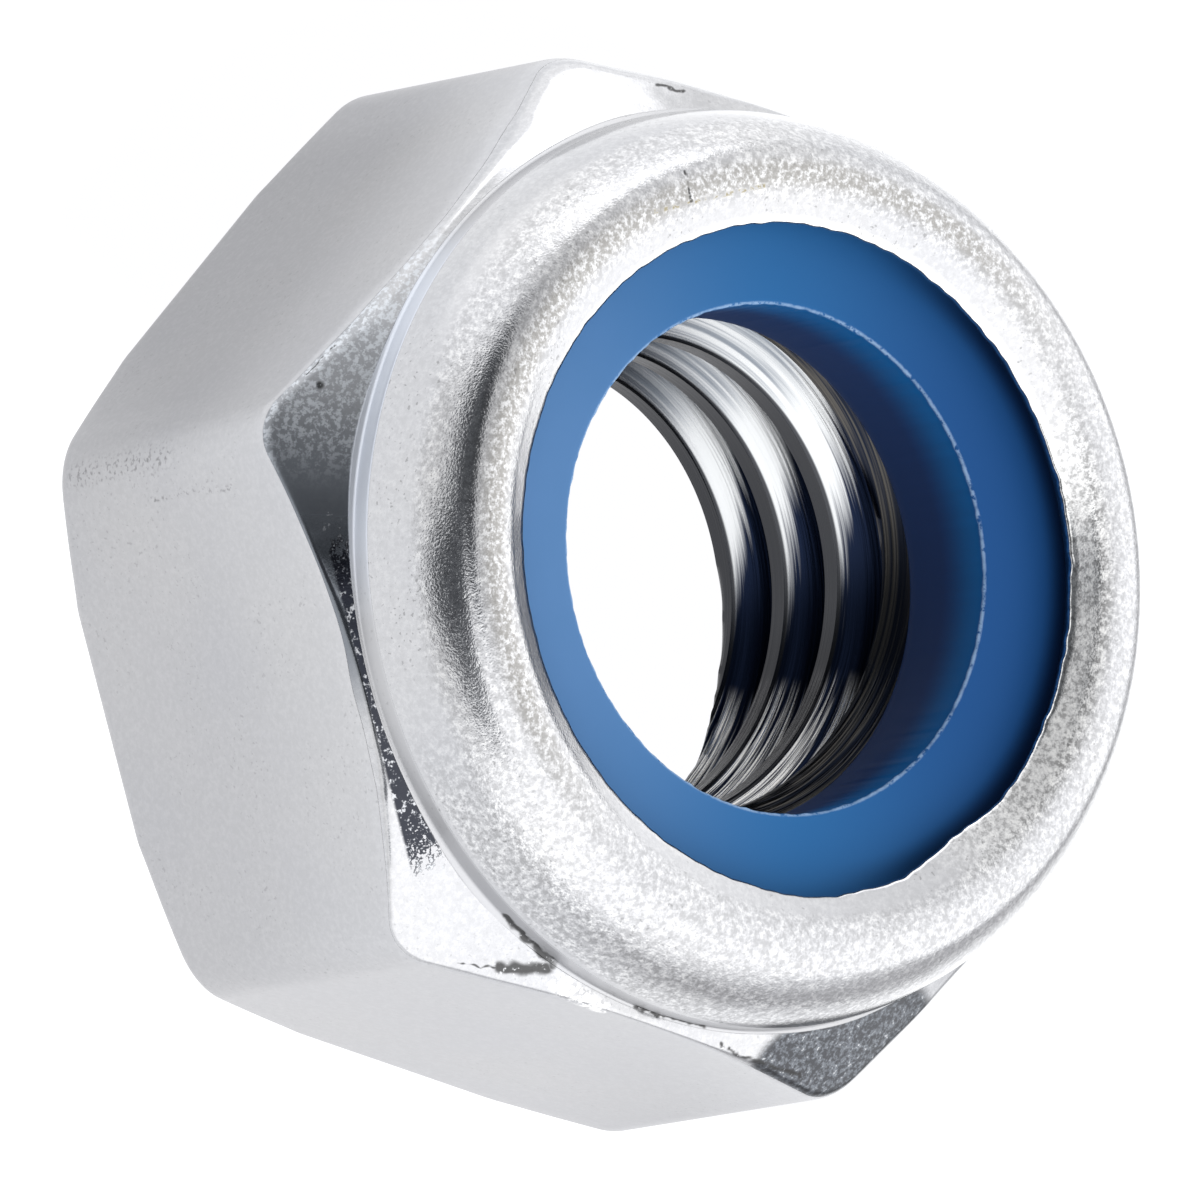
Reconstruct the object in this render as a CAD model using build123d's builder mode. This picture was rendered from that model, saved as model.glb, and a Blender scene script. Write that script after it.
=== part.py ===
"""Nylon insert lock nut, M8 coarse, for a 13 mm spanner: a cold-formed steel nut with a rolled collar
that holds a nylon ring. All lengths are in millimetres, and +Z runs from the bearing face to the collar.
"""

import os
from math import cos, radians, sin, sqrt, tan

from build123d import *

os.makedirs("parts", exist_ok=True)

# Thread
thread_diameter = 8.0
thread_pitch = 1.25
countersink_diameter = 8.75
countersink_angle = 90.0
core_chamfer = 0.55

# Nylon ring: its bore stands inside the tips of the bolt's thread, which cuts into it
ring_bite = 0.5
ring_width = 1.88
ring_thickness = 1.8
ring_recess = 0.78
ring_edge_break = 0.12
ring_clearance = 0.02

# Collar, rolled in over the ring
collar_wall = 0.95
collar_upright = 0.1
collar_foot_radius = 0.15
roll_radius = 2.3
roll_turn = 42.0
crown_radius = 0.64
lip_fall = 28.0
lip_land = 0.44
lip_under_turn = 58.0
lip_edge_break = 0.08

# Hexagon: its flats stand a small step outside the collar, which makes it 13 mm across them
nut_height = 8.0
collar_step = 0.17
corner_radius = 0.85
bearing_chamfer_angle = 30.0
bearing_chamfer_height = 0.45
shoulder_angle = 39.0
shoulder_rounding = 0.15

# Minor diameter of an ISO metric nut thread: the bolt size less 5/4 of the height of its sharp triangle
sharp_thread_height = thread_pitch * sqrt(3) / 2
minor_radius = (thread_diameter - 5 / 4 * sharp_thread_height) / 2

# From the bolt outwards: the ring, the collar's wall round it, and the flats a step outside that
ring_bore_radius = thread_diameter / 2 - ring_bite
seat_radius = ring_bore_radius + ring_width
collar_radius = seat_radius + collar_wall
flat_radius = collar_radius + collar_step

# Hexagon: the rounded corner's tip, and a round blank a little wider than it for the two cones to trim
tip_radius = (flat_radius - corner_radius) / cos(radians(30)) + corner_radius
blank_radius = tip_radius + corner_radius
bearing_face_radius = tip_radius - bearing_chamfer_height / tan(radians(bearing_chamfer_angle))
bearing_cone_height = (blank_radius - bearing_face_radius) * tan(radians(bearing_chamfer_angle))

# Collar: the crown's top is the nut's full height, and the roll, the upright and the shoulder hang below it
crown_start = nut_height - crown_radius * (1 - sin(radians(roll_turn)))
roll_start = crown_start - roll_radius * sin(radians(roll_turn))
roll_centre = (collar_radius - roll_radius, roll_start)
under_roll_radius = roll_radius - collar_wall
shoulder_height = roll_start - collar_upright
shoulder_fall = (blank_radius - collar_radius) * tan(radians(shoulder_angle))

# Ring: its front lies under the lip, and its back on the floor of the seat
ring_front = nut_height - ring_recess
seat_floor = ring_front - ring_thickness
countersink_radius = countersink_diameter / 2
countersink_depth = (countersink_radius - minor_radius) / tan(radians(countersink_angle / 2))

# Steel nut: a hexagon trimmed by the bearing chamfer and the shoulder cone, then the collar on top of it
with BuildPart() as nut_body:
    with BuildSketch() as hexagon:
        RegularPolygon(radius=flat_radius, side_count=6, major_radius=False, rotation=30)
        fillet(hexagon.vertices(), radius=corner_radius)
    extrude(amount=shoulder_height)
    with BuildSketch(Plane.XZ) as trimmed_outline:
        with BuildLine():
            Polyline(
                (0, 0),
                (bearing_face_radius, 0),
                (blank_radius, bearing_cone_height),
                (blank_radius, shoulder_height - shoulder_fall),
                (collar_radius, shoulder_height),
                (0, shoulder_height),
                close=True,
            )
        make_face()
    revolve(axis=Axis.Z, mode=Mode.INTERSECT)
    upper_edges = nut_body.edges().filter_by_position(Axis.Z, nut_height / 2, shoulder_height)
    forged_edges = upper_edges.filter_by(lambda edge: edge.geom_type not in (GeomType.LINE, GeomType.CIRCLE))
    fillet(forged_edges, radius=shoulder_rounding)

    # The collar's outside: a wall that rolls inwards, turns over at its crown and falls to the lip
    with BuildSketch(Plane.XZ) as collar_outline:
        with BuildLine():
            outer_wall = Line((collar_radius, seat_floor), (collar_radius, roll_start))
            roll = JernArc(outer_wall @ 1, (0, 1), roll_radius, roll_turn)
            crown = JernArc(roll @ 1, roll % 1, crown_radius, 90 - roll_turn + lip_fall)
            lip = PolarLine(crown @ 1, lip_land, 180 + lip_fall)
            mouth_height = (lip @ 1).Y
            Polyline(lip @ 1, (0, mouth_height), (0, seat_floor), outer_wall @ 0)
        make_face()
    revolve(axis=Axis.Z)
    rings = nut_body.edges().filter_by(GeomType.CIRCLE)
    collar_foot = rings.sort_by(lambda edge: abs(edge.center().Z - shoulder_height))[0]
    fillet(collar_foot, radius=collar_foot_radius)

    # The hollow: countersink, thread core chamfered at its top, the ring's seat, the underside of the roll
    with BuildSketch(Plane.XZ) as hollow:
        with BuildLine():
            bolt_way = Polyline(
                (0, 0),
                (countersink_radius, 0),
                (minor_radius, countersink_depth),
                (minor_radius, seat_floor - core_chamfer),
                (minor_radius + core_chamfer, seat_floor),
                (seat_radius, seat_floor),
                (seat_radius, roll_start),
            )
            under_roll = CenterArc(roll_centre, under_roll_radius, 0, lip_under_turn)
            Polyline(under_roll @ 1, lip @ 1, (0, mouth_height), bolt_way @ 0)
        make_face()
    revolve(axis=Axis.Z, mode=Mode.SUBTRACT)
    rings = nut_body.edges().filter_by(GeomType.CIRCLE)
    mouth_edge = rings.sort_by(lambda edge: abs(edge.center().Z - mouth_height))[0]
    chamfer(mouth_edge, length=lip_edge_break)
nut_body.part.label = "nut_body"
export_step(nut_body.part, "parts/nut_body.step")

# Nylon ring: pressed into the seat, with its outer corner shaped by the roll that closes over it
ring_outer_radius = seat_radius - ring_clearance
ring_corner_radius = under_roll_radius - ring_clearance
ring_corner_rise = ring_front - roll_start
ring_front_radius = roll_centre[0] + sqrt(ring_corner_radius**2 - ring_corner_rise**2)

with BuildPart() as nylon_insert:
    with BuildSketch(Plane.XZ) as ring_section:
        with BuildLine():
            back = Line((ring_bore_radius, seat_floor), (ring_outer_radius, seat_floor))
            side = Line(back @ 1, (ring_outer_radius, roll_start))
            corner = RadiusArc(side @ 1, (ring_front_radius, ring_front), -ring_corner_radius)
            front = Line(corner @ 1, (ring_bore_radius, ring_front))
            bore = Line(front @ 1, back @ 0)
        make_face()
        chamfer(ring_section.vertices().group_by(Axis.X)[0], length=ring_edge_break)
    revolve(axis=Axis.Z)
nylon_insert.part.label = "nylon_insert"
export_step(nylon_insert.part, "parts/nylon_insert.step")
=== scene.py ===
"""Looks of an M8 nylon insert lock nut: bright zinc-plated steel with a rolled collar over a blue ring.

Lengths are in millimetres and angles in degrees until a mesh is made. +Z runs from the bearing face to
the collar, and azimuths are counted from +X towards +Y.
"""

from math import cos, pi, radians, sin, sqrt, tan

import bmesh
import bpy
import numpy as np
from mathutils import Matrix, Vector


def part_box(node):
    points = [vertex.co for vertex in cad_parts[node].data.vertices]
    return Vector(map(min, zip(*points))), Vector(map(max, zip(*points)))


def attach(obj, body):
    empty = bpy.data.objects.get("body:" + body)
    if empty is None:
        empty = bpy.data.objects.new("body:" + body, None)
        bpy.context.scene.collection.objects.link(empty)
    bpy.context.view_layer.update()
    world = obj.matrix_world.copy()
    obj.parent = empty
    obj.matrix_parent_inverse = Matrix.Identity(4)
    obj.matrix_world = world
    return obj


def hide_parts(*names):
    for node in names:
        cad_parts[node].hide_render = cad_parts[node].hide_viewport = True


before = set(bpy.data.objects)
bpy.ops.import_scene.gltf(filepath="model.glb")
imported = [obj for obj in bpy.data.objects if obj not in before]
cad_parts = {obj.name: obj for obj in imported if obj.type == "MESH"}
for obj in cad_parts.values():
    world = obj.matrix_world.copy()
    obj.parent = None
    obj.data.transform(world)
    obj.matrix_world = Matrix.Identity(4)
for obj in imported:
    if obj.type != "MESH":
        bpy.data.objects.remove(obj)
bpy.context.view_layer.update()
MILLIMETRE = 0.001

# View: a long lens looks down on the collar end from 54 degrees up, rolled so that the nut's axis lies
# almost level across the picture, with the spanner flats to the left and below.
camera_aim = Vector((0.333, -0.624, 4.0))
camera_distance = 548.9
camera_azimuth = -65.24
camera_elevation = 53.88
camera_roll = 79.74

camera_data = bpy.data.cameras.new("camera")
camera_data.sensor_width = 36
camera_data.lens = 1200
camera_data.clip_start = 0.01
camera_data.clip_end = 10
camera = bpy.data.objects.new("camera", camera_data)
bpy.context.scene.collection.objects.link(camera)
bpy.context.scene.camera = camera


def direction(azimuth, elevation=0):
    """Unit vector at an azimuth and an elevation above the bearing face's plane, both in degrees."""
    turn, rise = radians(azimuth), radians(elevation)
    return Vector((cos(turn) * cos(rise), sin(turn) * cos(rise), sin(rise)))


back = direction(camera_azimuth, camera_elevation)
facing = (-back).to_track_quat("-Z", "Y").to_matrix().to_4x4()
camera_place = Matrix.Translation((camera_aim + back * camera_distance) * MILLIMETRE)
camera.matrix_world = camera_place @ facing @ Matrix.Rotation(radians(camera_roll), 4, "Z")

# Steel nut: one cold-forged piece, a hexagon with a thin collar on its end that is rolled in over the
# ring after it is pressed in. The thread is cut right through before that, up to the ring's seat.
nut_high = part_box("nut_body")[1]
ring_low, ring_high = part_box("nylon_insert")
flat_radius = nut_high.x / MILLIMETRE
nut_height = nut_high.z / MILLIMETRE
ring_clearance = 0.02
seat_radius = ring_high.x / MILLIMETRE + ring_clearance
seat_floor = ring_low.z / MILLIMETRE
ring_front = ring_high.z / MILLIMETRE
corner_radius = 0.85
collar_radius = 6.33
collar_wall = collar_radius - seat_radius
shoulder_angle = 39.0
bearing_chamfer_angle = 30.0
bearing_chamfer_height = 0.45
roll_radius = 2.3
roll_turn = 42.0
crown_radius = 0.64
lip_fall = 28.0
lip_land = 0.44
lip_under_turn = 58.0
collar_upright = 0.1
foot_top = 0.24
foot_to_roll = 0.06
countersink_radius = 4.62
core_chamfer = 0.55
thread_pitch = 1.25
thread_major_radius = 4.0
thread_minor_radius = 3.3234
thread_start_turn = 0.8166
thread_offset = 0.1
thread_offset_azimuth = 200.0

tip_radius = (flat_radius - corner_radius) / cos(radians(30)) + corner_radius
bearing_face_radius = tip_radius - bearing_chamfer_height / tan(radians(bearing_chamfer_angle))
crown_start = nut_height - crown_radius * (1 - sin(radians(roll_turn)))
roll_start = crown_start - roll_radius * sin(radians(roll_turn))
roll_centre = (collar_radius - roll_radius, roll_start)
shoulder_height = roll_start - collar_upright
foot_height = shoulder_height + foot_top
under_radius = roll_radius - collar_wall

steps_per_half_flat = 37
corner_crowding = 0.45


def smooth(low, high, value):
    """0 below low, 1 above high, and an S-curve of the third degree between them."""
    share = np.clip((value - low) / (high - low), 0, 1)
    return share * share * (3 - 2 * share)


def near(azimuth, width, turn):
    """1 at an azimuth, falling as an S-curve to 0 at a width to each side of it; all in degrees."""
    apart = np.abs((turn - azimuth + 180) % 360 - 180)
    return 1 - smooth(0, width, apart)


def swelled(base, swells, turn):
    """A base with local swells added round the axis: each is a size, an azimuth and a width."""
    for size, azimuth, width in swells:
        base = base + size * near(azimuth, width, turn)
    return base


def waver(turn, waves, seed):
    """Uneven line round the axis, about -1 to 1: a sum of sines with seeded phases, loudest at few waves."""
    dice = np.random.default_rng(seed)
    total = np.zeros_like(turn)
    for count in waves:
        total += np.sin(np.radians(turn * count) + dice.uniform(0, 2 * pi)) * dice.uniform(0.5, 1.0)
    return total / sqrt(len(waves))


def around_the_hexagon(steps, crowding):
    """Azimuths once round the hexagon, both ends included, closest together at its corners.

    Each half flat is 30 degrees. Within it the azimuth grows with u as (1 - c) u + c sin(u quarter turns),
    and the next half flat mirrors that.
    """
    count = np.arange(12 * steps + 1) / steps
    half = np.floor(count)
    share = count - half
    inward = half % 2 == 1
    u = np.where(inward, 1 - share, share)
    grown = (1 - crowding) * u + crowding * np.sin(u * pi / 2)
    return 30 * (half + np.where(inward, 1 - grown, grown))


def hexagon_radius(azimuths):
    """Distance of the hexagon's outline from the axis: flats, with each corner rounded by an arc.

    From a corner's arc centre at distance c, an angle d off the corner, the outline is at
    c cos d + sqrt(radius squared - (c sin d) squared).
    """
    from_flat = np.abs((azimuths + 30) % 60 - 30)
    centre = (flat_radius - corner_radius) / cos(radians(30))
    tangent = np.degrees(np.arctan((flat_radius - corner_radius) * tan(radians(30)) / flat_radius))
    off = np.radians(30 - from_flat)
    arc = centre * np.cos(off) + np.sqrt(np.maximum(corner_radius**2 - (centre * np.sin(off)) ** 2, 0))
    return np.where(from_flat <= tangent, flat_radius / np.cos(np.radians(from_flat)), arc)


def corner_at(radius, height, count):
    """One corner of a section; its radius and its height may each differ at the count of azimuths."""
    return np.stack([radius * np.ones(count), height * np.ones(count)], -1)


def rounded_section(corners, setbacks, curve_steps, line_steps):
    """Rows of points along a run of corners whose places and roundings differ at each azimuth.

    Each inner corner becomes a Bezier curve of the second degree, from a setback before it to a setback
    after it, of which neither takes up half of its side. Straight rows fill the way to the next one.
    """
    most_of_side = 0.48
    corners = np.stack(corners)
    rows = [corners[:1]]
    for index in range(1, len(corners) - 1):
        before, here, after = corners[index - 1 : index + 2]
        to_before, to_after = before - here, after - here
        set_before, set_after = (np.reshape(setback, (-1, 1)) for setback in setbacks[index - 1])
        room_before = np.linalg.norm(to_before, axis=-1, keepdims=True)
        room_after = np.linalg.norm(to_after, axis=-1, keepdims=True)
        start = here + to_before * np.minimum(set_before / room_before, most_of_side)
        end = here + to_after * np.minimum(set_after / room_after, most_of_side)
        line = np.arange(1, line_steps[index - 1])[:, None, None] / line_steps[index - 1]
        curve = np.arange(curve_steps[index - 1] + 1)[:, None, None] / curve_steps[index - 1]
        rows.append(rows[-1][-1] + (start - rows[-1][-1]) * line)
        rows.append((1 - curve) ** 2 * start + 2 * curve * (1 - curve) * here + curve**2 * end)
    line = np.arange(1, line_steps[-1] + 1)[:, None, None] / line_steps[-1]
    rows.append(rows[-1][-1] + (corners[-1] - rows[-1][-1]) * line)
    return np.concatenate(rows)


def arc_rows(centre, radius, first, last, steps, count):
    """Rows along an arc in the section's plane, the same at every azimuth; angles from outwards to up."""
    angles = np.radians(np.linspace(first, last, steps + 1))
    points = np.stack([centre[0] + radius * np.cos(angles), centre[1] + radius * np.sin(angles)], -1)
    return np.repeat(points[:, None], count, 1)


azimuths = around_the_hexagon(steps_per_half_flat, corner_crowding)
columns = len(azimuths)
hexagon = hexagon_radius(azimuths)
from_x = (azimuths + 180) % 360 - 180

# Forging leaves the shoulder uneven: its edge runs higher where the lowest flat fills out to the collar
edge_lift = 0.13 * smooth(-22, -8, from_x) * (1 - smooth(9, 20, from_x))
edge_drop = swelled(0, [(0.1, 255, 20), (0.3, 150, 22), (0.1, 210, 18)], azimuths)
edge_drop = edge_drop + 0.012 * waver(azimuths, (7, 11, 17, 26, 39), 3)
shoulder_drop = (hexagon - collar_radius) * tan(radians(shoulder_angle))
edge_height = shoulder_height - shoulder_drop + edge_lift - edge_drop
edge_swells = [(0.14, 250, 35), (0.14, 210, 26), (0.25, 306, 22), (0.1, 30, 30), (0.3, 228, 34)]
edge_round = swelled(0.12, edge_swells, azimuths) * (1 + 0.25 * waver(azimuths, (9, 14, 23, 37), 5))

# The chamfer round the bearing face is never lost, not even at the middle of a flat
bearing_edge = np.minimum(bearing_face_radius, hexagon - 0.1)
bearing_rise = np.maximum((hexagon - bearing_face_radius) * tan(radians(bearing_chamfer_angle)), 0.07)

# A faint step runs round the foot of the collar, deepest at one corner
foot_radius = collar_radius - swelled(0.005, [(0.008, 262, 14)], azimuths)

# The countersink is cut a little deeper where the thread runs out into it
countersink_rim = swelled(countersink_radius, [(0.25, 60, 34)], azimuths)

curve_steps = [4, 4, 8, 6, 3]
line_steps = [6, 3, 20, 8, 2, 2]
outside = rounded_section(
    [
        corner_at(countersink_rim, 0, columns),
        corner_at(bearing_edge, 0, columns),
        corner_at(hexagon, bearing_rise, columns),
        corner_at(hexagon, edge_height, columns),
        corner_at(foot_radius, shoulder_height, columns),
        corner_at(foot_radius, foot_height, columns),
        corner_at(collar_radius - 0.005, foot_height + foot_to_roll, columns),
    ],
    [(0.12, 0.12), (0.12, 0.12), (edge_round, edge_round * 0.8), (0.04, 0.04), (0.03, 0.02)],
    curve_steps,
    line_steps,
)
rows_to_flat = line_steps[0] + curve_steps[0]
rows_to_shoulder = rows_to_flat + line_steps[1] + curve_steps[1] + line_steps[2] + curve_steps[2] // 2
rows_to_foot = rows_to_shoulder + curve_steps[2] // 2 + line_steps[3]
roll_first = np.degrees(np.arcsin((foot_height + foot_to_roll - roll_start) / roll_radius))
roll_rows = arc_rows(roll_centre, roll_radius, roll_first + 0.6, roll_turn, 20, columns)
crown_centre = (
    roll_centre[0] + (roll_radius - crown_radius) * cos(radians(roll_turn)),
    roll_centre[1] + (roll_radius - crown_radius) * sin(radians(roll_turn)),
)
crown_rows = arc_rows(crown_centre, crown_radius, roll_turn, 90 + lip_fall, 16, columns)

# The mouth is ragged, and reaches further in at one place than beside it
lip_way = np.array([-cos(radians(lip_fall)), -sin(radians(lip_fall))])
lip_length = lip_land + 0.016 * waver(azimuths, (5, 13, 29, 47, 71, 97), 11)
lip_length = swelled(lip_length, [(0.13, 48, 16), (-0.05, 15, 12)], azimuths)
mouth = crown_rows[-1] + lip_length[:, None] * lip_way
under_rows = arc_rows(roll_centre, under_radius, lip_under_turn, 0, 9, columns)
inside = rounded_section([crown_rows[-1], mouth, under_rows[0]], [(0.09, 0.09)], [5], [6, 3])
seat_rows = np.stack(
    [
        corner_at(seat_radius, seat_floor + 0.3, columns),
        corner_at(seat_radius, seat_floor, columns),
        corner_at(thread_major_radius + 0.4, seat_floor, columns),
    ]
)


def thread_radius(height, azimuth):
    """Radius of the right-hand thread: its crest and root are flats joined by flanks at 60 degrees.

    The way along the pitch from the nearest crest, less an eighth for half a crest, climbs the flank by
    the square root of 3, held between the crest and the root.
    """
    way = (height / thread_pitch - azimuth / 360 - thread_start_turn + 0.5) % 1 - 0.5
    climb = (np.abs(way) - 1 / 8) * thread_pitch * sqrt(3)
    return thread_minor_radius + np.clip(climb, 0, thread_major_radius - thread_minor_radius)


# Rows of the thread follow its helix, and stop where they meet the seat's floor and the bearing face
half_ways = np.array([0.06, 0.115, 0.14, 0.19, 0.26, 0.33, 0.4, 0.46])
crest_ways = np.concatenate([-half_ways, [0], half_ways])
turns = np.arange(6, -3, -1)
helix_ways = np.sort((turns[:, None] + crest_ways).ravel())[::-1] + thread_start_turn
below_seat = helix_ways * thread_pitch < seat_floor + 0.1
above_bearing_face = helix_ways * thread_pitch > -thread_pitch - 0.1
helix_ways = helix_ways[below_seat & above_bearing_face]
thread_height = np.clip((helix_ways[:, None] + azimuths / 360) * thread_pitch, 0, seat_floor)
countersink = countersink_rim - thread_height
upper_chamfer = thread_minor_radius + core_chamfer - (seat_floor - thread_height)
thread_shift = thread_offset * np.cos(np.radians(azimuths - thread_offset_azimuth))
cut = np.maximum(thread_radius(thread_height, azimuths), upper_chamfer) + thread_shift
thread_rows = np.stack([np.maximum(cut, countersink), thread_height], -1)

# Stations tell the material where it is: 0 bearing face, 1 flats, 2 shoulder, 3 foot of the collar,
# 4 to 5 roll, 5 to 6 crown, 6 to 7 lip, 8 underside of the roll and seat, 9 thread
section = np.concatenate(
    [outside, roll_rows, crown_rows[1:], inside[1:], under_rows[1:], seat_rows, thread_rows]
)
stations = np.concatenate(
    [
        np.full(rows_to_flat, 0.0),
        np.full(rows_to_shoulder - rows_to_flat, 1.0),
        np.full(rows_to_foot - rows_to_shoulder, 2.0),
        np.full(len(outside) - rows_to_foot, 3.0),
        np.linspace(4, 5, len(roll_rows)),
        np.linspace(5, 6, len(crown_rows))[1:],
        np.linspace(6, 7, len(inside))[1:],
        np.full(len(under_rows) - 1 + len(seat_rows), 8.0),
        np.full(len(thread_rows), 9.0),
    ]
)


def ring_mesh(name, section, stations, azimuths):
    """Mesh of a closed section carried once round the axis; section holds radius and height at each azimuth.

    Each row's station, a number for its place along the section, is kept on its points for the material.
    """
    merge_distance = 0.0005
    turn = np.radians(azimuths)
    radius, height = section[..., 0], section[..., 1]
    points = np.stack([radius * np.cos(turn), radius * np.sin(turn), height], -1) * MILLIMETRE
    rows, columns = radius.shape
    cells = np.arange(rows * columns).reshape(rows, columns)
    here, along = cells[:, :-1], cells[:, 1:]
    quads = np.stack([here, along, np.roll(along, -1, 0), np.roll(here, -1, 0)], -1).reshape(-1, 4)
    mesh = bpy.data.meshes.new(name)
    mesh.from_pydata(points.reshape(-1, 3).tolist(), [], quads.tolist())
    station = mesh.attributes.new(name="station", type="FLOAT", domain="POINT")
    station.data.foreach_set("value", np.repeat(stations, columns))
    work = bmesh.new()
    work.from_mesh(mesh)
    bmesh.ops.remove_doubles(work, verts=work.verts, dist=merge_distance * MILLIMETRE)
    bmesh.ops.recalc_face_normals(work, faces=work.faces)
    work.to_mesh(mesh)
    work.free()
    mesh.shade_smooth()
    mesh.set_sharp_from_angle(angle=radians(40))
    piece = bpy.data.objects.new(name, mesh)
    bpy.context.scene.collection.objects.link(piece)
    return piece


class Value:
    """A number, vector or colour that varies over a surface: a socket, with Math nodes as operators."""

    def __init__(self, tree, socket=None):
        self.tree = tree
        self.socket = socket

    def node(self, kind, settings=(), inputs=(), output=0):
        """Adds a node of a type, with its settings first, then the values or links of its sockets."""
        made = self.tree.nodes.new(kind)
        for name, setting in dict(settings).items():
            setattr(made, name, setting)
        for name, given in dict(inputs).items():
            if isinstance(given, Value):
                self.tree.links.new(given.socket, made.inputs[name])
            else:
                made.inputs[name].default_value = given
        return Value(self.tree, made.outputs[output])

    def maths(self, operation, *given):
        return self.node("ShaderNodeMath", {"operation": operation}, dict(enumerate(given)))

    def __add__(self, other):
        return self.maths("ADD", self, other)

    def __sub__(self, other):
        return self.maths("SUBTRACT", self, other)

    def __rsub__(self, other):
        return self.maths("SUBTRACT", other, self)

    def __mul__(self, other):
        return self.maths("MULTIPLY", self, other)

    def __rtruediv__(self, other):
        return self.maths("DIVIDE", other, self)

    def __pow__(self, other):
        return self.maths("POWER", self, other)

    __radd__ = __add__
    __rmul__ = __mul__


def step_between(value, low, high, start=0.0, end=1.0):
    """start below low, end above high, and an S-curve between; low may be above high."""
    return value.node(
        "ShaderNodeMapRange",
        {"interpolation_type": "SMOOTHSTEP"},
        {0: value, 1: low, 2: high, 3: start, 4: end},
    )


def within(value, low, full_low, full_high, high):
    """1 from full_low to full_high, falling as S-curves to 0 at low and at high."""
    return step_between(value, low, full_low) * step_between(value, high, full_high)


def noise(place, scale, detail, roughness):
    """Cloudy pattern from 0 to 1 whose patches measure about one over the scale."""
    return place.node(
        "ShaderNodeTexNoise",
        {},
        {"Vector": place, "Scale": scale, "Detail": detail, "Roughness": roughness},
    )


def mixed(factor, first, second):
    """Colour from the first to the second as the factor goes from 0 to 1."""
    return factor.node(
        "ShaderNodeMix",
        {"data_type": "RGBA"},
        {0: factor, 6: first, 7: second},
        output=2,
    )


def layered(colour, layers):
    """A colour with others laid over it in turn, each covering it by a share from 0 to 1."""
    for share, over in layers:
        colour = mixed(share, colour, over)
    return colour


def vector_maths(operation, first, second, output=0):
    """One step of vector arithmetic between a Value and a Value or a constant."""
    return first.node("ShaderNodeVectorMath", {"operation": operation}, {0: first, 1: second}, output)


def scaled(vector, factor):
    """A vector made a number of times as long."""
    return vector.node("ShaderNodeVectorMath", {"operation": "SCALE"}, {0: vector, "Scale": factor})


def new_material(name):
    """An empty material, its tree as a Value, and a place in millimetres on the piece."""
    material = bpy.data.materials.new(name)
    material.use_nodes = True
    material.node_tree.nodes.clear()
    tree = Value(material.node_tree)
    return material, tree, scaled(tree.node("ShaderNodeTexCoord", output=3), 1 / MILLIMETRE)


def finish_material(tree, settings):
    """Gives a material its shader, with the values of the shader's sockets."""
    shader = tree.node("ShaderNodeBsdfPrincipled", {}, settings)
    output = tree.tree.nodes.new("ShaderNodeOutputMaterial")
    tree.tree.links.new(shader.socket, output.inputs["Surface"])


def spot(place, centre, full, faded):
    """1 within a distance of a point, fading to 0 at a larger distance from it."""
    return step_between(vector_maths("DISTANCE", place, centre, output=1), faded, full)


def stroke(place, start, end, full, faded):
    """1 within a distance of the line between two points, fading to 0 at a larger distance from it.

    The share of the way along it is the place's offset times the line over the line's length squared.
    """
    start, end = Vector(start), Vector(end)
    line = end - start
    offset = vector_maths("SUBTRACT", place, tuple(start))
    share = vector_maths("DOT_PRODUCT", offset, tuple(line / line.length_squared), output=1)
    share = share.node("ShaderNodeClamp", {}, {0: share})
    along = share.node("ShaderNodeVectorMath", {"operation": "SCALE"}, {0: tuple(line), "Scale": share})
    return step_between(vector_maths("DISTANCE", offset, along, output=1), faded, full)


def split(place):
    """The three parts of a place, its distance from the axis, and the unit vector from the axis to it."""
    parts = place.node("ShaderNodeSeparateXYZ", {}, {0: place}).socket.node.outputs
    x, y, z = (Value(place.tree, socket) for socket in parts)
    out = vector_maths("MULTIPLY", place, (1, 1, 0))
    out = out.node("ShaderNodeVectorMath", {"operation": "NORMALIZE"}, {0: out})
    return x, y, z, (x * x + y * y) ** 0.5, out


def along(out, azimuth, elevation=0):
    """Cosine of the angle between a unit vector and a direction."""
    return vector_maths("DOT_PRODUCT", out, tuple(direction(azimuth, elevation)), output=1)


def beside(out, azimuth, full, faded, elevation=0):
    """1 where a unit vector is within full degrees of a direction, fading to 0 at faded degrees."""
    return step_between(along(out, azimuth, elevation), cos(radians(faded)), cos(radians(full)))


def from_line(x, y, distance, azimuth):
    """Distance from a line that stands parallel to the axis, at a distance and an azimuth from it."""
    line_x, line_y = distance * cos(radians(azimuth)), distance * sin(radians(azimuth))
    return ((x - line_x) ** 2.0 + (y - line_y) ** 2.0) ** 0.5


nut = ring_mesh("nut_body_zinc", section, stations, azimuths)
zinc, tree, place = new_material("bright_zinc")
x, y, z, radius, out = split(place)
station = tree.node("ShaderNodeAttribute", {"attribute_name": "station"}, output=2)
on_flat = within(station, 0.4, 0.6, 1.4, 1.6)
on_shoulder = within(station, 1.4, 1.6, 2.5, 2.7)
strip = within(station, 2.4, 2.7, 3.7, 3.95)
on_roll = within(station, 3.9, 4.1, 7.2, 7.5)
low_roll = within(station, 4.02, 4.12, 4.5, 4.75) * beside(out, 355, 30, 50)
rough = within(station, 4.45, 4.65, 5.9, 6.15)
lip_side = step_between(station, 5.7, 6.0) * on_roll * beside(out, 88, 22, 50)
lip_edge = step_between(station, 6.3, 6.5) * on_roll * (1 - beside(out, 30, 30, 60))
in_thread = step_between(station, 8.4, 8.6)

# Fine grain of the plating, coarser unevenness of the forging, and pits that gather in patches
grain = noise(place, 32.0, 1.5, 0.6)
lumps = noise(place, 1.6, 1.0, 0.5)
cloud = noise(place, 0.4, 1.0, 0.5)
patches = noise(place, 0.8, 1.0, 0.6)
mottle = noise(place, 11.0, 2.0, 0.8)
specks = noise(place, 16.0, 1.0, 0.5)
pits = step_between(specks, 0.34, 0.28) * step_between(patches, 0.4, 0.6)

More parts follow.
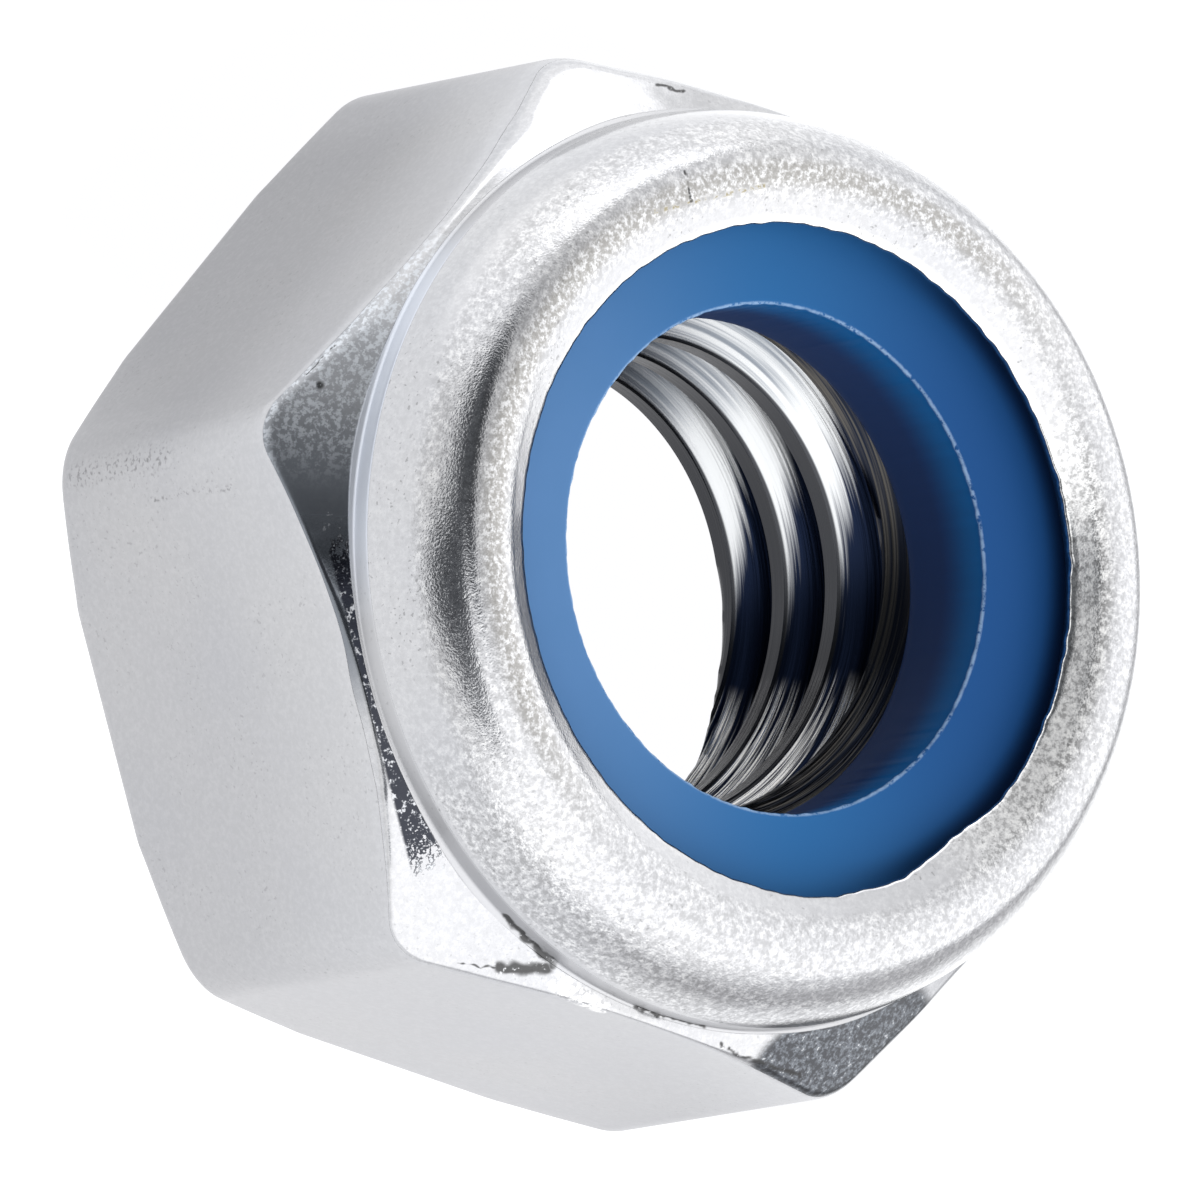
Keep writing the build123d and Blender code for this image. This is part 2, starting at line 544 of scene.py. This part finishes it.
# Streaks run along the thread: its phase goes round once per pitch, so the pattern closes on itself
phase = z * (2 * pi / thread_pitch) - tree.maths("ARCTAN2", y, x)
around = tree.node("ShaderNodeCombineXYZ", {}, {0: tree.maths("COSINE", phase), 1: tree.maths("SINE", phase)})
streaks = noise(vector_maths("ADD", around, scaled(place, 0.06)), 6.0, 2.0, 0.6)

# Inside the hole: how deep it is below the thread's crests, where it is shaded or dark, both painted shade,
# and where it is scratched
depth = from_line(x, y, thread_offset, thread_offset_azimuth) - thread_minor_radius
on_crest = step_between(depth, 0.06, 0.03) * in_thread
in_chamfer = step_between(z, 4.82, 4.92) * in_thread
shaded = step_between(along(out, 80) + 0.7 * depth + 0.5 * (streaks - 0.5), 0.76, 0.96)
upper_shade = beside(out, 185, 22, 38)
scored = beside(out, 60, 18, 28)

# Painted shade in the crevice under the collar: black along one flat, over 60 percent of the way out to its
# edge
crevice_reach = 0.6
flat_edge = crevice_reach * flat_radius / along(out, 300)
inner = radius - (1 - crevice_reach) * collar_radius - flat_edge
crevice = step_between(along(out, 303) + 0.12 * (mottle - 0.5), cos(radians(20.5)), cos(radians(19)))
crevice = crevice * step_between(inner, 0.02, -0.02) * on_shoulder

# A mottled dark reflection is painted beside one corner; at its neighbours the shoulder gets a darker spot,
# painted shade and a speckled painted highlight
dark_reflection_mark = stroke(place, (6.25, 2.75, 5.70), (5.45, 4.25, 5.85), 0.65, 0.9)
dark_reflection_mark = dark_reflection_mark * on_shoulder * step_between(mottle, 0.78, 0.6)
darker_corner_spot = spot(place, (-0.95, -6.75, 5.75), 0.5, 1.7) * on_shoulder
corner_shade = beside(out, 285, 8, 22) * on_shoulder
speckled_highlight = beside(out, 257, 8, 20) * on_shoulder * step_between(mottle, 0.44, 0.62)
# One flat is darker towards the bearing face
flat_darker_downward = step_between(z, 5.2, 2.6) * beside(out, 243, 20, 30) * on_flat
band = step_between(tree.maths("ABSOLUTE", radius - 5.28), 0.28, 0.08) * rough
band = band * beside(out, 235, 70, 100) * step_between(mottle, 0.66, 0.42)

# Dents and tears: lines with a full and a faded width, drawn at a place that is shaken a little
shaken = tree.node("ShaderNodeTexNoise", {}, {"Vector": place, "Scale": 6.0, "Detail": 1.0}, output=1)
shaken = scaled(vector_maths("SUBTRACT", shaken, (0.5, 0.5, 0.5)), 0.14)
torn = vector_maths("ADD", place, shaken)
marks = spot(place, (-0.68, -6.85, 5.67), 0.03, 0.08)
for start, end, full, faded in (
    ((-0.80, -6.99, 5.48), (-1.47, -6.60, 5.68), 0.004, 0.02),
    ((6.40, -2.91, 5.58), (6.33, -2.36, 5.79), 0.005, 0.03),
    ((6.33, -2.36, 5.79), (6.19, -1.76, 6.05), 0.04, 0.12),
    ((5.75, -2.65, 6.20), (6.15, -1.72, 6.14), 0.03, 0.09),
    ((-6.33, -2.35, 5.75), (-6.30, -2.00, 5.88), 0.02, 0.06),
    ((-4.62, -3.10, 7.93), (-4.22, -2.97, 7.99), 0.01, 0.04),
    ((6.34, -0.30, 6.16), (6.28, 0.85, 6.16), 0.01, 0.05),
    ((6.42, 1.24, 6.06), (6.43, 1.79, 5.89), 0.01, 0.05),
    ((6.43, 1.79, 5.89), (6.33, 2.91, 5.63), 0.01, 0.06),
):
    marks = tree.maths("MAXIMUM", marks, stroke(torn, start, end, full, faded))
marks = marks * step_between(mottle, 0.7, 0.58)
scuffs = stroke(place, (0.68, -7.12, 2.40), (0.71, -7.10, 4.42), 0.01, 0.06)
scuffs = tree.maths("MAXIMUM", scuffs, stroke(place, (0.23, -7.34, 0.79), (0.16, -7.36, 2.95), 0.02, 0.3))
scuffs = scuffs * step_between(specks, 0.46, 0.38)
worn = stroke(place, (-3.89, -3.51, 8.0), (-4.78, -1.80, 7.97), 0.01, 0.05) * step_between(mottle, 0.5, 0.6)
burr = stroke(place, (6.35, -1.50, 6.04), (6.50, -0.77, 6.01), 0.05, 0.2) * step_between(mottle, 0.4, 0.55)

# Relief: heights of the grain, the lumps and the thread's streaks, which stand deeper where it is scored
grain_height = 0.0045
lump_height = 0.015
streak_height = 0.004
score_height = 0.03
coarse = 0.08 + 0.12 * on_roll + 0.8 * rough + 0.6 * low_roll + 0.1 * on_shoulder
height = grain * coarse * (1 - in_thread) * grain_height
height = height + lumps * (on_shoulder + 0.3 * on_roll) * lump_height
height = height + streaks * in_thread * (streak_height + score_height * scored)
bumps = tree.node("ShaderNodeBump", {}, {"Strength": 1.0, "Distance": MILLIMETRE, "Height": height})

# Colours outside the hole, from the plain plating up to the latest marks, and those of the hole; painted
# highlights, reflections and shade are among them
mottled = 0.08 * (on_roll + on_shoulder) + 0.05 * on_flat + 0.2 * rough + 0.3 * low_roll + 0.45 * lip_side
crevice_shade_tint = mixed(step_between(mottle, 0.54, 0.68), (0.018, 0.02, 0.028, 1), (0.4, 0.41, 0.43, 1))
dark_reflection_tint = mixed(step_between(mottle, 0.42, 0.6), (0.025, 0.027, 0.032, 1), (0.09, 0.10, 0.115, 1))
tint = layered(
    mixed(cloud, (0.375, 0.38, 0.40, 1), (0.425, 0.425, 0.43, 1)),
    [
        (0.22 * flat_darker_downward, (0.10, 0.10, 0.11, 1)),
        (0.65 * band, (0.23, 0.22, 0.20, 1)),
        # Painted highlights on the lip, at one side and along its edge
        (0.4 * lip_side, (0.8, 0.8, 0.79, 1)),
        (0.8 * lip_edge, (0.75, 0.75, 0.74, 1)),
        (mottled * step_between(mottle, 0.54, 0.36), (0.10, 0.10, 0.10, 1)),
        (mottled * step_between(mottle, 0.5, 0.68), (0.8, 0.8, 0.79, 1)),
        (pits * (0.22 + 0.2 * on_roll) + 0.35 * scuffs, (0.08, 0.08, 0.08, 1)),
        (0.35 * darker_corner_spot, (0.16, 0.18, 0.20, 1)),
        # Painted shade on the shoulder at one corner
        (0.8 * corner_shade, (0.09, 0.105, 0.125, 1)),
        # Painted highlight in speckles on the shoulder
        (0.65 * speckled_highlight, (0.55, 0.58, 0.62, 1)),
        # Painted light-blue reflection on the foot of the collar at one corner
        (0.5 * strip * beside(out, 265, 12, 30), (0.62, 0.67, 0.76, 1)),
        # Painted shade in the crevice
        (0.96 * crevice, crevice_shade_tint),
        # Painted dark reflection beside one corner, mottled
        (0.93 * dark_reflection_mark, dark_reflection_tint),
        (0.9 * marks, (0.03, 0.03, 0.03, 1)),
        (0.8 * worn, (0.16, 0.13, 0.05, 1)),
        (burr, (0.8, 0.8, 0.8, 1)),
    ],
)
# Painted dark reflection on the thread's chamfer under the ring, streaked
chamfer_tint = mixed(step_between(streaks, 0.4, 0.62), (0.010, 0.013, 0.022, 1), (0.06, 0.057, 0.052, 1))
# Painted dark reflection on the thread's crests, lighter on one side
crest_tint = mixed(beside(out, 60, 20, 45), (0.045, 0.047, 0.052, 1), (0.02, 0.021, 0.024, 1))
bore_tint = layered(
    mixed(shaded, (0.46, 0.47, 0.48, 1), (0.008, 0.013, 0.03, 1)),
    [
        (0.75 * upper_shade * step_between(streaks, 0.7, 0.35), (0.07, 0.09, 0.12, 1)),
        (0.9 * scored * step_between(streaks, 0.44, 0.58), (0.78, 0.77, 0.75, 1)),
        (in_chamfer, chamfer_tint),
        (on_crest, crest_tint),
    ],
)
roughness = 0.12 + 0.04 * cloud + 0.16 * on_flat + 0.12 * in_thread + 0.3 * strip
roughness = roughness + 0.3 * on_shoulder * beside(out, 260, 8, 26)
steel = {
    "Base Color": mixed(in_thread, tint, bore_tint),
    "Metallic": 1.0,
    "Roughness": roughness,
    "Normal": bumps,
}
finish_material(tree, steel)
nut.data.materials.append(zinc)
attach(nut, "root")
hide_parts("nut_body")

# Nylon ring: a turned ring of blue polyamide, pressed into its seat before the collar is rolled over it.
# Its bore stands a little off the axis, with a pale burr where the cutter left its front edge.
ring_bore_radius = 3.5
ring_offset = 0.05
ring_join_radius = ring_bore_radius + 0.6
ring_outer_radius = seat_radius - ring_clearance
ring_corner_radius = under_radius - ring_clearance
ring_corner_rise = ring_front - roll_start
corner_turn = np.degrees(np.arcsin(ring_corner_rise / ring_corner_radius))
ring_azimuths = np.linspace(0, 360, 541)
ring_columns = len(ring_azimuths)
ring_bore = ring_bore_radius + ring_offset * np.cos(np.radians(ring_azimuths - thread_offset_azimuth))
bore_edge = ring_bore + 0.008 * waver(ring_azimuths, (9, 23, 41, 67, 89, 131), 7)

ring_back = rounded_section(
    [
        corner_at(ring_join_radius, seat_floor, ring_columns),
        corner_at(ring_outer_radius, seat_floor, ring_columns),
        corner_at(ring_outer_radius, roll_start, ring_columns),
    ],
    [(0.1, 0.1)],
    [3],
    [3, 3],
)
ring_shoulder = arc_rows(roll_centre, ring_corner_radius, 0, corner_turn, 10, ring_columns)
ring_front_rows = rounded_section(
    [
        ring_shoulder[-1],
        corner_at(bore_edge, ring_front, ring_columns),
        corner_at(ring_bore, seat_floor, ring_columns),
        corner_at(ring_join_radius, seat_floor, ring_columns),
    ],
    [(0.07, 0.07), (0.12, 0.12)],
    [6, 4],
    [14, 14, 3],
)
ring_section = np.concatenate([ring_back, ring_shoulder[1:], ring_front_rows[1:-1]])
ring = ring_mesh("nylon_insert_blue", ring_section, np.zeros(len(ring_section)), ring_azimuths)
nylon, tree, place = new_material("blue_nylon")
x, y, z, radius, out = split(place)
mottle = noise(place, 1.2, 2.0, 0.5)
fray = noise(place, 7.0, 3.0, 0.7)
bore_way = from_line(x, y, ring_offset, thread_offset_azimuth) - ring_bore_radius

# Front face: lit on the left, dark on the right, and darkest in the lip's shade there
turned_off = 0.5 - 0.5 * along(out, 285)
lip_way = radius - 0.36 * along(out, 115)
under_lip = step_between(lip_way, 4.15, 4.52) * beside(out, 98, 40, 78)
front_blue = layered(
    mixed(mottle, (0.066, 0.150, 0.30, 1), (0.074, 0.160, 0.32, 1)),
    [
        (step_between(turned_off, -0.1, 0.55), (0.018, 0.095, 0.245, 1)),
        (step_between(turned_off, 0.45, 1.0), (0.010, 0.055, 0.175, 1)),
        (0.78 * under_lip, (0.002, 0.004, 0.02, 1)),
    ],
)

# Bore: painted shade, with painted light let through at its front edge
in_bore = step_between(z, ring_front - 0.02, ring_front - 0.1) * step_between(bore_way, 0.1, 0.03)
bore_blue = mixed(step_between(z, 6.2, 7.1), (0.002, 0.02, 0.085, 1), (0.000, 0.07, 0.22, 1))
edge_way = ((z - ring_front) ** 2.0 + bore_way**2.0) ** 0.5
burr = step_between(edge_way + 0.05 * (fray - 0.5), 0.055, 0.02) * step_between(fray, 0.35, 0.5)
blue = layered(front_blue, [(in_bore, bore_blue), (0.75 * burr, (0.25, 0.36, 0.52, 1))])
finish_material(tree, {"Base Color": blue, "Roughness": 0.45, "Specular IOR Level": 0.04})
ring.data.materials.append(nylon)
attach(ring, "root")
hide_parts("nylon_insert")

# Studio: a pale floor that glows, as a light table does, under a soft tent of light with one dark side.
# The glow is even where the picture shows it, and differs further out, where only the steel mirrors it.
# The floor itself is black under its glow: so bright a sheet shows no light that falls on it.
floor_half = 900.0 * MILLIMETRE
floor_mesh = bpy.data.meshes.new("floor")
floor_corners = [(-1, -1), (1, -1), (1, 1), (-1, 1)]
floor_mesh.from_pydata([(floor_half * x, floor_half * y, 0) for x, y in floor_corners], [], [(0, 1, 2, 3)])
floor = bpy.data.objects.new("floor", floor_mesh)
bpy.context.scene.collection.objects.link(floor)
paper, tree, place = new_material("pale_floor")
x, y, z, radius, out = split(place)
crescent = within(radius, 14, 24, 35, 70) * beside(out, 75, 35, 90)
far_side = step_between(radius, 18, 26) * beside(out, 200, 25, 45)
glow = layered(
    mixed(beside(out, 330, 45, 85), (1.0, 1.0, 1.02, 1), (1.33, 1.33, 1.35, 1)),
    [
        (step_between(radius, 8.5, 12.0), (1.65, 1.66, 1.68, 1)),
        (crescent, (0.86, 0.86, 0.88, 1)),
        (far_side, (2.0, 2.0, 2.0, 1)),
    ],
)
sheet = {
    "Base Color": (0, 0, 0, 1),
    "Specular IOR Level": 0.0,
    "Emission Color": glow,
    "Emission Strength": 1.0,
}
finish_material(tree, sheet)
floor.data.materials.append(paper)

world = bpy.data.worlds.new("tent")
bpy.context.scene.world = world
world.use_nodes = True
world.node_tree.nodes.clear()
sky = Value(world.node_tree)
looking = sky.node("ShaderNodeTexCoord", output=0)

# Panels in the tent: strength, azimuth, full and faded reach, elevation; the dark ones swallow light
light = 1.4
for strength, azimuth, full, faded, elevation in (
    (0.65, 60, 68, 115, 15),
    (0.35, 80, 35, 60, 8),
    (0.4, 350, 25, 50, 35),
    (-0.55, 215, 14, 36, 68),
):
    light = light + strength * beside(looking, azimuth, full, faded, elevation)
lit = 1
for azimuth, full, faded, elevation in (
    (250, 20, 25, 41),
    (287, 14, 19, 24),
    (272, 6, 13, 60),
    (311, 6, 10, 23),
):
    lit = lit * (1 - beside(looking, azimuth, full, faded, elevation))
dark = 1 - lit
light = light * (1 - 0.88 * dark)
light = light + 1.6 * beside(looking, 188, 16, 25, 5) + 0.6 * beside(looking, 225, 15, 22, 0)
tone = mixed(dark, (1, 1, 1, 1), (0.94, 0.99, 1.07, 1))
backdrop = sky.node("ShaderNodeBackground", {}, {"Color": tone, "Strength": light})
world_output = world.node_tree.nodes.new("ShaderNodeOutputWorld")
world.node_tree.links.new(backdrop.socket, world_output.inputs["Surface"])
bpy.context.scene.view_settings.view_transform = "Standard"
